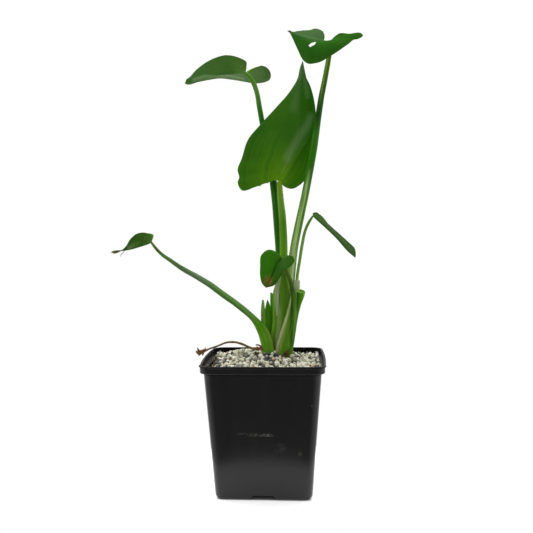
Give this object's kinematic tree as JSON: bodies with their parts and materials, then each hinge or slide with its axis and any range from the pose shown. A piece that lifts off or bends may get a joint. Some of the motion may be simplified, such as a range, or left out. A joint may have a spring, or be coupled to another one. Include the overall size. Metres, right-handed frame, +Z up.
{
  "type": "potted pickerelweed",
  "caption": "young pickerelweed in a square black nursery pot topped with grit, with upright heart-shaped leaves, drooping small leaves, sheaths and dry remains",
  "frame": {"origin": "middle of the pot's underside, on the surface it stands on", "axes": "+Z up; -Y is the plant's front as seen in the picture, +X to the viewer's right"},
  "size_m": [0.2508, 0.1136, 0.45],
  "materials": {
    "black_plastic": "satin black, faintly scuffed",
    "potting_mix": "moist dark compost",
    "grit": "pale mixed gravel",
    "rootstock": "rough rootstock",
    "leaf": "satin green leaf",
    "stem": "satin green stem",
    "sheath": "ribbed green sheath",
    "pale_sheath": "thin pale membrane",
    "dry_leaf": "dry brown leaf",
    "bark": "dark bark"
  },
  "bodies": {
    "root": {"pot": "black_plastic", "soil": "potting_mix", "gravel": "grit", "crown": "rootstock", "tall_right_stem": "stem", "tall_right_blade": "leaf", "tall_left_stem": "stem", "tall_left_blade": "leaf", "middle_stem": "stem", "middle_blade": "leaf", "arching_stem": "stem", "arching_blade": "leaf", "front_stem": "stem", "front_blade": "leaf", "side_stem": "stem", "side_blade": "leaf", "left_ligule": "pale_sheath", "pointed_sheath": "sheath", "back_stub": "sheath", "white_ligule": "pale_sheath", "pale_sheath": "pale_sheath", "right_stub": "sheath", "dead_stem": "dry_leaf", "withered_end": "dry_leaf", "brown_scrap": "dry_leaf", "root_scrap": "bark", "bark_bit": "bark"}
  },
  "joints": []
}
